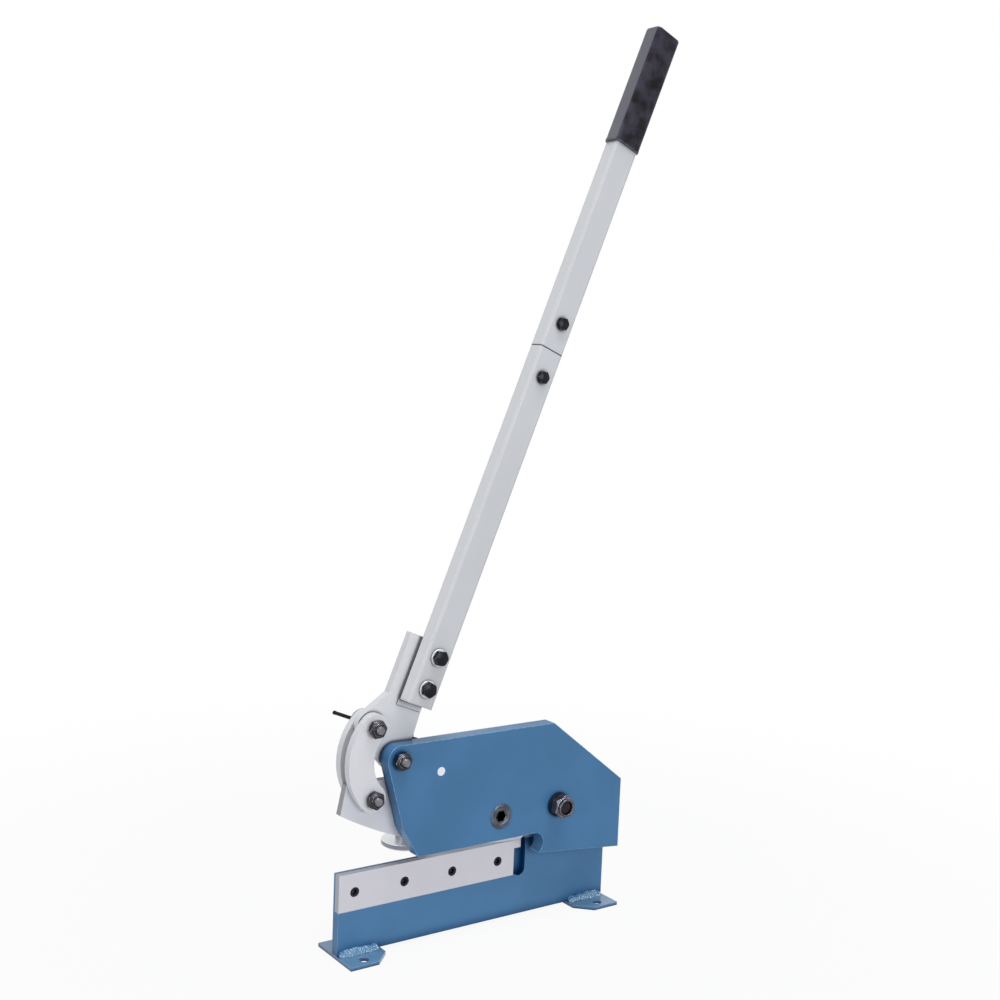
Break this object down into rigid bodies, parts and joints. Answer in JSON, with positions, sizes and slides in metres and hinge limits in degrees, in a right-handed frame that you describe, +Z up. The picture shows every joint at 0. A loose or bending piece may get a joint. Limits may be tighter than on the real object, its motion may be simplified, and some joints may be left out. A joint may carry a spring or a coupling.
{
  "type": "bench lever shear",
  "caption": "Hand lever shear for a bench: a blue C-shaped base plate and cheek carry a curved cutter arm that a long lever pulls down through curved links, with a screw hold-down.",
  "frame": {"origin": "middle of the four foot holes on the bench plane, in the middle of the base plate's thickness", "axes": "+X along the blades towards the main pivot, +Y to the back, +Z up from the bench"},
  "size_m": [0.5019, 0.2672, 1.2865],
  "materials": {
    "blue_paint": "glossy blue paint",
    "grey_paint": "satin light grey paint",
    "blade_steel": "ground",
    "zinc_steel": "zinc plated",
    "black_steel": "black oxide",
    "bronze": "turned",
    "grip_rubber": "satin black"
  },
  "bodies": {
    "frame": {"base_plate": "blue_paint", "foot_left": "blue_paint", "foot_right": "blue_paint", "foot_welds": "blue_paint", "front_cheek": "blue_paint", "spacer_plate": "blue_paint", "cheek_weld": "blue_paint", "lower_blade": "blade_steel", "lower_blade_screws": "black_steel", "lower_blade_nuts": "black_steel", "arm_stop_pin": "zinc_steel", "arm_guide_screw": "black_steel", "main_pivot_bolt": "black_steel", "main_pivot_sleeve": "bronze", "main_pivot_washers": "black_steel", "main_pivot_nut": "zinc_steel", "lever_pivot_bolt": "black_steel", "lever_pivot_sleeve": "bronze", "lever_pivot_washers": "black_steel", "lever_pivot_nut": "black_steel", "hold_down_block": "blue_paint"},
    "cutter_arm": {"cutter_arm": "grey_paint", "upper_blade": "blade_steel", "upper_blade_screws": "black_steel"},
    "lever": {"lever_head": "grey_paint", "lever_tube_lower": "grey_paint", "lever_tube_upper": "grey_paint", "splice_bar": "zinc_steel", "splice_bolts": "black_steel", "splice_nuts": "black_steel", "head_bolts": "black_steel", "head_washers": "zinc_steel", "head_nuts": "black_steel", "hand_grip": "grip_rubber"},
    "links": {"link_front": "grey_paint", "link_rear": "grey_paint", "link_bolts": "black_steel", "link_washers": "black_steel", "link_nuts": "black_steel"},
    "hold_down_foot": {"hold_down_foot": "zinc_steel"},
    "hold_down_spindle": {"hold_down_spindle": "black_steel"},
    "tommy_bar": {"tommy_bar": "black_steel"}
  },
  "joints": [
    {"name": "lever_swing", "type": "hinge", "parent": "frame", "child": "lever", "pos_m": [-0.1581, 0, 0.2743], "axis": [0, -1, 0], "range_deg": [0, 90]},
    {"name": "arm_swing", "type": "hinge", "parent": "frame", "child": "cutter_arm", "pos_m": [0.1102, 0, 0.1727], "axis": [0, -1, 0], "range_deg": [0, 14.78]},
    {"name": "link_swing", "type": "hinge", "parent": "lever", "child": "links", "pos_m": [-0.19229, 0, 0.31927], "axis": [0, -1, 0], "range_deg": [-85.3, 0]},
    {"name": "hold_down_lift", "type": "slide", "parent": "frame", "child": "hold_down_foot", "axis": [0, 0, 1], "range_m": [-0.0075, 0.0015]},
    {"name": "hold_down_turn", "type": "hinge", "parent": "hold_down_foot", "child": "hold_down_spindle", "pos_m": [-0.0988, 0.0392, 0.2], "axis": [0, 0, 1], "range_deg": [-75, 75]},
    {"name": "tommy_bar_slide", "type": "slide", "parent": "hold_down_spindle", "child": "tommy_bar", "axis": [-0.1685, 0.9857, 0], "range_m": [-0.01, 0.0065]}
  ],
  "couplings": [
    {"joint": "arm_swing", "follows": "lever_swing", "ratio": 0.16421},
    {"joint": "link_swing", "follows": "lever_swing", "ratio": -0.94767}
  ]
}
